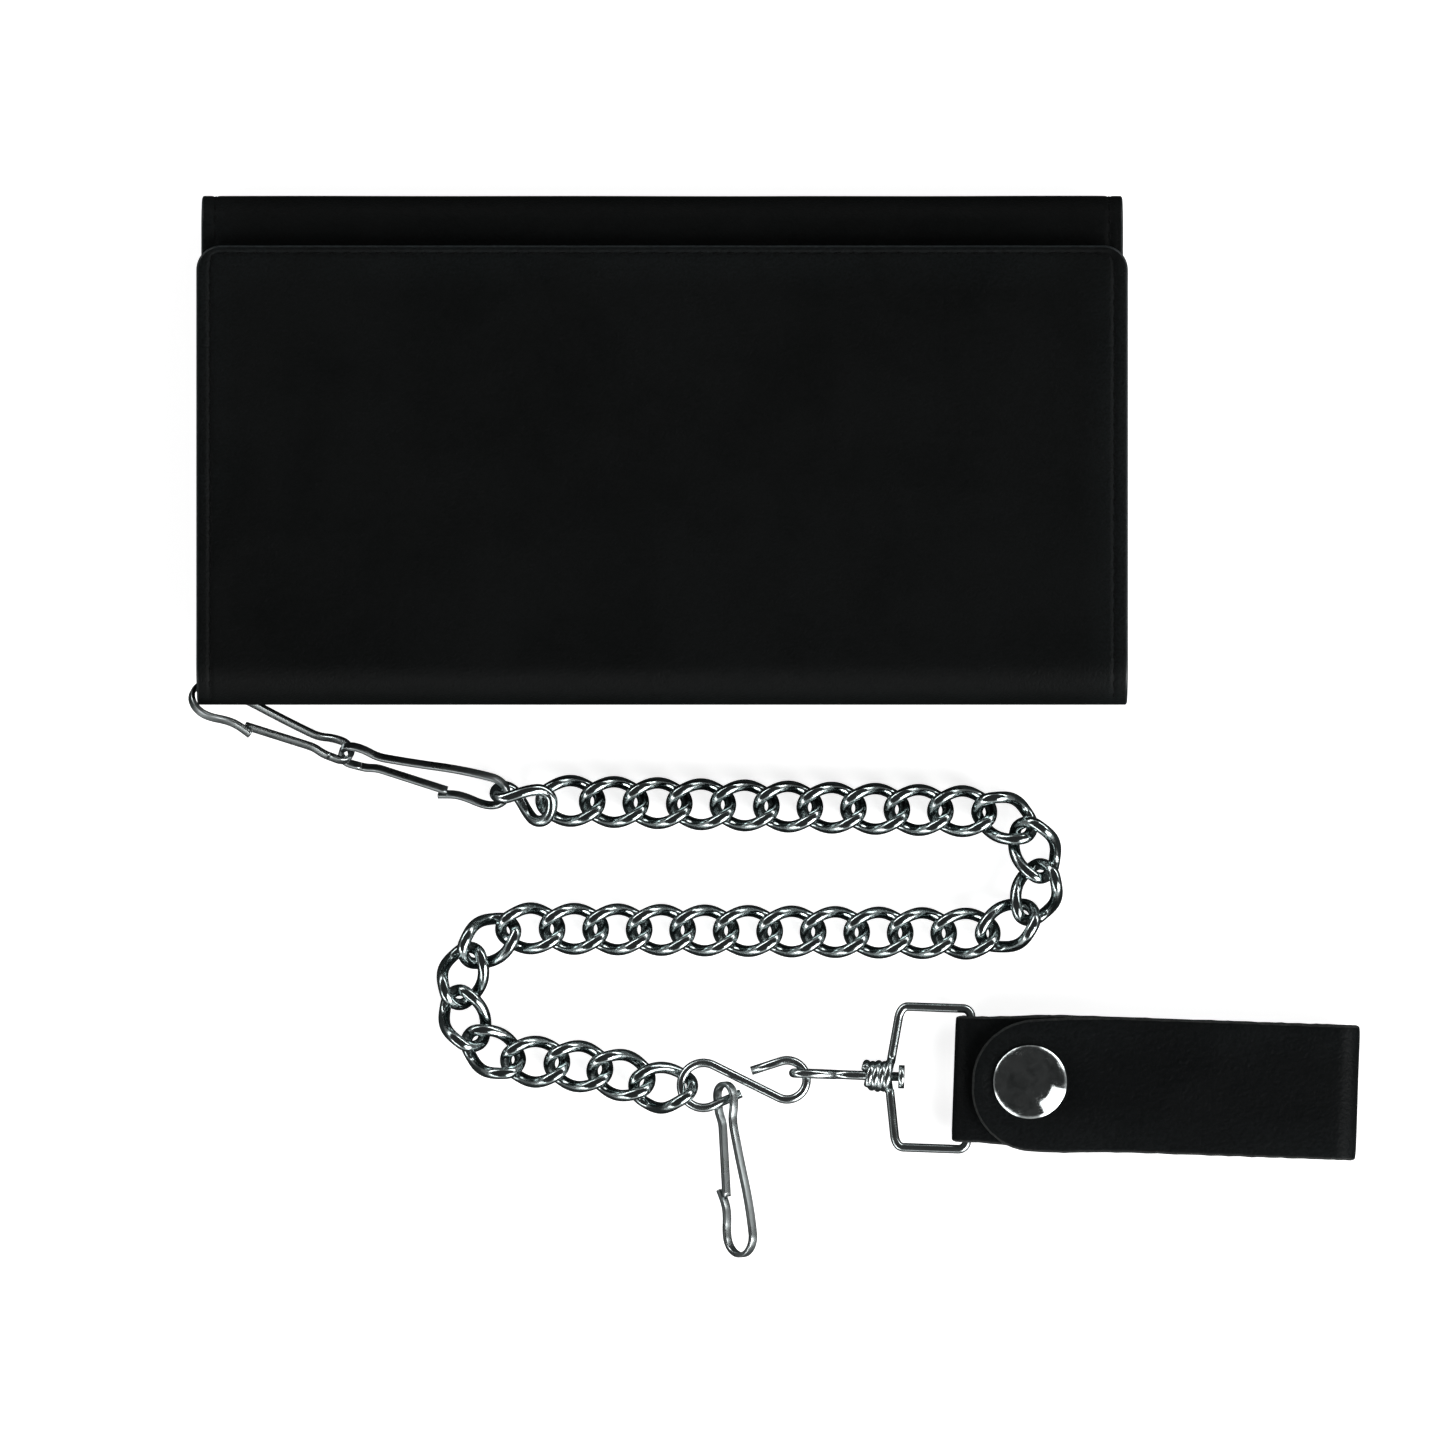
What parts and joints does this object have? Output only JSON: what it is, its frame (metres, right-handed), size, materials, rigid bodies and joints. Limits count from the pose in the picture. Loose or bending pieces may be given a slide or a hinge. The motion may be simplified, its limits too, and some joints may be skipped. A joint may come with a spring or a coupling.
{
  "type": "chain wallet",
  "caption": "Long black leather trifold wallet with a curb chain, spring clips, S hook, spare key clip, swivel ring and snap belt strap, laid out flat.",
  "frame": {"origin": "centre of the closed wallet's back face, on the table", "axes": "+X along the wallet to the right, +Y from the bottom fold to the top fold, +Z out of the table towards the front flap"},
  "size_m": [0.2395, 0.217, 0.0173],
  "materials": {
    "black_leather": "fine grain, low sheen",
    "strap_leather": "oiled, raw cut edges",
    "lining": "thin matt lining",
    "zipper_cloth": "woven tape",
    "bright_nickel": "polished nickel plate",
    "satin_nickel": "satin nickel plate",
    "dark_nickel": "dark nickel plate"
  },
  "bodies": {
    "wallet": {"back_cover": "black_leather", "bill_pocket_lining": "lining", "zip_pocket_panel": "black_leather", "zipper_tape": "zipper_cloth"},
    "zipper_slider": {"zipper_slider": "bright_nickel"},
    "front_flap": {"flap_leather": "black_leather", "flap_lining": "lining", "flap_snap_socket": "bright_nickel"},
    "card_panel": {"card_panel": "black_leather", "card_slots": "lining", "panel_snap_stud": "bright_nickel"},
    "wallet_clip": {"wallet_clip": "satin_nickel"},
    "wallet_clip_gate": {"wallet_clip_gate": "satin_nickel"},
    "chain_clip": {"chain_clip": "satin_nickel"},
    "chain_clip_gate": {"chain_clip_gate": "satin_nickel"},
    "link_01": {"link_01": "dark_nickel"},
    "link_02": {"link_02": "dark_nickel"},
    "link_03": {"link_03": "dark_nickel"},
    "link_04": {"link_04": "dark_nickel"},
    "link_05": {"link_05": "dark_nickel"},
    "link_06": {"link_06": "dark_nickel"},
    "link_07": {"link_07": "dark_nickel"},
    "link_08": {"link_08": "dark_nickel"},
    "link_09": {"link_09": "dark_nickel"},
    "link_10": {"link_10": "dark_nickel"},
    "link_11": {"link_11": "dark_nickel"},
    "link_12": {"link_12": "dark_nickel"},
    "link_13": {"link_13": "dark_nickel"},
    "link_14": {"link_14": "dark_nickel"},
    "link_15": {"link_15": "dark_nickel"},
    "link_16": {"link_16": "dark_nickel"},
    "link_17": {"link_17": "dark_nickel"},
    "link_18": {"link_18": "dark_nickel"},
    "link_19": {"link_19": "dark_nickel"},
    "link_20": {"link_20": "dark_nickel"},
    "link_21": {"link_21": "dark_nickel"},
    "link_22": {"link_22": "dark_nickel"},
    "link_23": {"link_23": "dark_nickel"},
    "link_24": {"link_24": "dark_nickel"},
    "link_25": {"link_25": "dark_nickel"},
    "link_26": {"link_26": "dark_nickel"},
    "link_27": {"link_27": "dark_nickel"},
    "link_28": {"link_28": "dark_nickel"},
    "link_29": {"link_29": "dark_nickel"},
    "link_30": {"link_30": "dark_nickel"},
    "link_31": {"link_31": "dark_nickel"},
    "link_32": {"link_32": "dark_nickel"},
    "link_33": {"link_33": "dark_nickel"},
    "link_34": {"link_34": "dark_nickel"},
    "s_hook": {"s_hook": "bright_nickel"},
    "key_clip": {"key_clip": "satin_nickel"},
    "key_clip_gate": {"key_clip_gate": "satin_nickel"},
    "swivel_eye": {"swivel_eye": "dark_nickel"},
    "strap_ring": {"strap_ring": "dark_nickel"},
    "strap": {"strap_back": "strap_leather", "snap_stud": "bright_nickel"},
    "strap_tab": {"strap_tab": "strap_leather", "snap_cap": "bright_nickel", "snap_socket": "bright_nickel"}
  },
  "joints": [
    {"name": "flap_open", "type": "hinge", "parent": "wallet", "child": "front_flap", "pos_m": [0, -0.0435, 0.0085], "axis": [1, 0, 0], "range_deg": [0, 90]},
    {"name": "card_panel_open", "type": "hinge", "parent": "wallet", "child": "card_panel", "pos_m": [0, 0.0453, 0.0067], "axis": [-1, 0, 0], "range_deg": [0, 108]},
    {"name": "zipper_slide", "type": "slide", "parent": "wallet", "child": "zipper_slider", "axis": [1, 0, 0], "range_m": [0, 0.122]},
    {"name": "wallet_clip_swing", "type": "hinge", "parent": "wallet", "child": "wallet_clip", "pos_m": [-0.0925, -0.0505, 0.006], "axis": [0, 0, 1], "range_deg": [-40, 0]},
    {"name": "wallet_clip_gate_spring", "type": "hinge", "parent": "wallet_clip", "child": "wallet_clip_gate", "pos_m": [-0.0683, -0.06239, 0.00682], "axis": [-0.3643, -0.5975, -0.7144], "range_deg": [0, 10], "stiffness_Nm_per_rad": 0.02},
    {"name": "clips_link", "type": "hinge", "parent": "wallet_clip", "child": "chain_clip", "pos_m": [-0.0646, -0.0618, 0.0044], "axis": [-0.1763, -0.6719, -0.7193], "range_deg": [-25, 18]},
    {"name": "chain_clip_gate_spring", "type": "hinge", "parent": "chain_clip", "child": "chain_clip_gate", "pos_m": [-0.06165, -0.06463, 0.00223], "axis": [-0.1825, -0.6958, 0.6947], "range_deg": [0, 10], "stiffness_Nm_per_rad": 0.02},
    {"name": "link_01_turn", "type": "hinge", "parent": "chain_clip", "child": "link_01", "pos_m": [-0.03169, -0.07062, 0.0041], "axis": [0.1763, 0.6719, 0.7193], "range_deg": [-20, 40]},
    {"name": "link_02_turn", "type": "hinge", "parent": "link_01", "child": "link_02", "pos_m": [-0.02355, -0.07152, 0.00479], "axis": [-0.1879, -0.9822, 0], "range_deg": [-5, 40]},
    {"name": "link_03_turn", "type": "hinge", "parent": "link_02", "child": "link_03", "pos_m": [-0.01435, -0.07175, 0.00355], "axis": [-0.0262, -0.9997, 0], "range_deg": [-40, 40]},
    {"name": "link_04_turn", "type": "hinge", "parent": "link_03", "child": "link_04", "pos_m": [-0.00545, -0.07198, 0.0034], "axis": [0.0262, 0.9997, 0], "range_deg": [-40, 40]},
    {"name": "link_05_turn", "type": "hinge", "parent": "link_04", "child": "link_05", "pos_m": [0.00346, -0.07222, 0.0034], "axis": [0.0262, 0.9997, 0], "range_deg": [-40, 40]},
    {"name": "link_06_turn", "type": "hinge", "parent": "link_05", "child": "link_06", "pos_m": [0.01236, -0.07245, 0.0034], "axis": [-0.0262, -0.9997, 0], "range_deg": [-40, 40]},
    {"name": "link_07_turn", "type": "hinge", "parent": "link_06", "child": "link_07", "pos_m": [0.02126, -0.07268, 0.0034], "axis": [-0.0262, -0.9997, 0], "range_deg": [-40, 40]},
    {"name": "link_08_turn", "type": "hinge", "parent": "link_07", "child": "link_08", "pos_m": [0.03016, -0.07291, 0.0034], "axis": [0.0262, 0.9997, 0], "range_deg": [-40, 40]},
    {"name": "link_09_turn", "type": "hinge", "parent": "link_08", "child": "link_09", "pos_m": [0.03906, -0.07315, 0.0034], "axis": [0.0262, 0.9997, 0], "range_deg": [-40, 40]},
    {"name": "link_10_turn", "type": "hinge", "parent": "link_09", "child": "link_10", "pos_m": [0.04797, -0.07338, 0.0034], "axis": [-0.0262, -0.9997, 0], "range_deg": [-40, 40]},
    {"name": "link_11_turn", "type": "hinge", "parent": "link_10", "child": "link_11", "pos_m": [0.05687, -0.07361, 0.00352], "axis": [-0.0262, -0.9997, 0], "range_deg": [-40, 40]},
    {"name": "link_12_turn", "type": "hinge", "parent": "link_11", "child": "link_12", "pos_m": [0.06573, -0.0744, 0.00385], "axis": [0.2336, 0.9723, 0], "range_deg": [-25, 40]},
    {"name": "link_13_turn", "type": "hinge", "parent": "link_12", "child": "link_13", "pos_m": [0.0732, -0.0783, 0.00415], "axis": [0.7245, 0.6893, 0], "range_deg": [-25, 20]},
    {"name": "link_14_turn", "type": "hinge", "parent": "link_13", "child": "link_14", "pos_m": [0.07639, -0.08599, 0.00424], "axis": [-0.9995, -0.0309, 0], "range_deg": [-20, 25]},
    {"name": "link_15_turn", "type": "hinge", "parent": "link_14", "child": "link_15", "pos_m": [0.07365, -0.09385, 0.00418], "axis": [-0.7658, 0.6431, 0], "range_deg": [-20, 15]},
    {"name": "link_16_turn", "type": "hinge", "parent": "link_15", "child": "link_16", "pos_m": [0.06638, -0.09802, 0.00391], "axis": [0.2447, -0.9696, 0], "range_deg": [-35, 10]},
    {"name": "link_17_turn", "type": "hinge", "parent": "link_16", "child": "link_17", "pos_m": [0.05754, -0.09874, 0.00355], "axis": [-0.0122, -0.9999, 0], "range_deg": [-40, 40]},
    {"name": "link_18_turn", "type": "hinge", "parent": "link_17", "child": "link_18", "pos_m": [0.04864, -0.09863, 0.0034], "axis": [0.0122, 0.9999, 0], "range_deg": [-40, 40]},
    {"name": "link_19_turn", "type": "hinge", "parent": "link_18", "child": "link_19", "pos_m": [0.03974, -0.09852, 0.0034], "axis": [0.0122, 0.9999, 0], "range_deg": [-40, 40]},
    {"name": "link_20_turn", "type": "hinge", "parent": "link_19", "child": "link_20", "pos_m": [0.03084, -0.09841, 0.0034], "axis": [-0.0122, -0.9999, 0], "range_deg": [-40, 40]},
    {"name": "link_21_turn", "type": "hinge", "parent": "link_20", "child": "link_21", "pos_m": [0.02194, -0.0983, 0.0034], "axis": [-0.0122, -0.9999, 0], "range_deg": [-40, 40]},
    {"name": "link_22_turn", "type": "hinge", "parent": "link_21", "child": "link_22", "pos_m": [0.01304, -0.09819, 0.0034], "axis": [0.0122, 0.9999, 0], "range_deg": [-40, 40]},
    {"name": "link_23_turn", "type": "hinge", "parent": "link_22", "child": "link_23", "pos_m": [0.00414, -0.09809, 0.0034], "axis": [0.0122, 0.9999, 0], "range_deg": [-40, 40]},
    {"name": "link_24_turn", "type": "hinge", "parent": "link_23", "child": "link_24", "pos_m": [-0.00476, -0.09798, 0.0034], "axis": [-0.0122, -0.9999, 0], "range_deg": [-40, 40]},
    {"name": "link_25_turn", "type": "hinge", "parent": "link_24", "child": "link_25", "pos_m": [-0.01366, -0.09787, 0.0034], "axis": [-0.0122, -0.9999, 0], "range_deg": [-40, 40]},
    {"name": "link_26_turn", "type": "hinge", "parent": "link_25", "child": "link_26", "pos_m": [-0.02255, -0.09776, 0.00358], "axis": [0.0122, 0.9999, 0], "range_deg": [-40, 40]},
    {"name": "link_27_turn", "type": "hinge", "parent": "link_26", "child": "link_27", "pos_m": [-0.03128, -0.09892, 0.00394], "axis": [-0.2916, 0.9565, 0], "range_deg": [-15, 10]},
    {"name": "link_28_turn", "type": "hinge", "parent": "link_27", "child": "link_28", "pos_m": [-0.03818, -0.10372, 0.00415], "axis": [0.8069, -0.5907, 0], "range_deg": [-25, 30]},
    {"name": "link_29_turn", "type": "hinge", "parent": "link_28", "child": "link_29", "pos_m": [-0.04064, -0.11176, 0.00416], "axis": [0.9994, 0.0342, 0], "range_deg": [-25, 30]},
    {"name": "link_30_turn", "type": "hinge", "parent": "link_29", "child": "link_30", "pos_m": [-0.03761, -0.1196, 0.00411], "axis": [-0.7644, -0.6447, 0], "range_deg": [-25, 30]},
    {"name": "link_31_turn", "type": "hinge", "parent": "link_30", "child": "link_31", "pos_m": [-0.03038, -0.12399, 0.00384], "axis": [-0.2905, -0.9569, 0], "range_deg": [-40, 30]},
    {"name": "link_32_turn", "type": "hinge", "parent": "link_31", "child": "link_32", "pos_m": [-0.0216, -0.12544, 0.00357], "axis": [0.1029, 0.9947, 0], "range_deg": [-40, 35]},
    {"name": "link_33_turn", "type": "hinge", "parent": "link_32", "child": "link_33", "pos_m": [-0.01281, -0.12679, 0.00361], "axis": [0.2006, 0.9797, 0], "range_deg": [-40, 40]},
    {"name": "link_34_turn", "type": "hinge", "parent": "link_33", "child": "link_34", "pos_m": [-0.00415, -0.12899, 0.00385], "axis": [-0.1259, -0.992, 0], "range_deg": [-15, 40]},
    {"name": "s_hook_swing", "type": "hinge", "parent": "link_34", "child": "s_hook", "pos_m": [0.00611, -0.13029, 0.00494], "axis": [0.1213, 0.6185, -0.7764], "range_deg": [-5, 30]},
    {"name": "key_clip_swing", "type": "hinge", "parent": "s_hook", "child": "key_clip", "pos_m": [0.01299, -0.13281, 0.00397], "axis": [0.9145, 0.4016, -0.0493], "range_deg": [-45, 45]},
    {"name": "key_clip_gate_spring", "type": "hinge", "parent": "key_clip", "child": "key_clip_gate", "pos_m": [0.01149, -0.13443, 0.00207], "axis": [-0.7726, -0.0422, 0.6335], "range_deg": [0, 10], "stiffness_Nm_per_rad": 0.02},
    {"name": "swivel_eye_lift", "type": "hinge", "parent": "s_hook", "child": "swivel_eye", "pos_m": [0.02949, -0.12844, 0.00309], "axis": [0, 1, 0], "range_deg": [-35, 25]},
    {"name": "swivel_spin", "type": "hinge", "parent": "swivel_eye", "child": "strap_ring", "pos_m": [0.04471, -0.12792, 0.00315], "axis": [0.9994, -0.0349, 0], "continuous": true},
    {"name": "strap_pivot", "type": "hinge", "parent": "strap_ring", "child": "strap", "pos_m": [0.0627, -0.12855, 0.00315], "axis": [0.0349, 0.9994, 0], "range_deg": [-75, 75]},
    {"name": "snap_tab_open", "type": "hinge", "parent": "strap", "child": "strap_tab", "pos_m": [0.1376, -0.13117, 0.00465], "axis": [0.0349, 0.9994, 0], "range_deg": [0, 150]}
  ],
  "couplings": [
    {"joint": "card_panel_open", "follows": "flap_open", "ratio": 1.2}
  ]
}
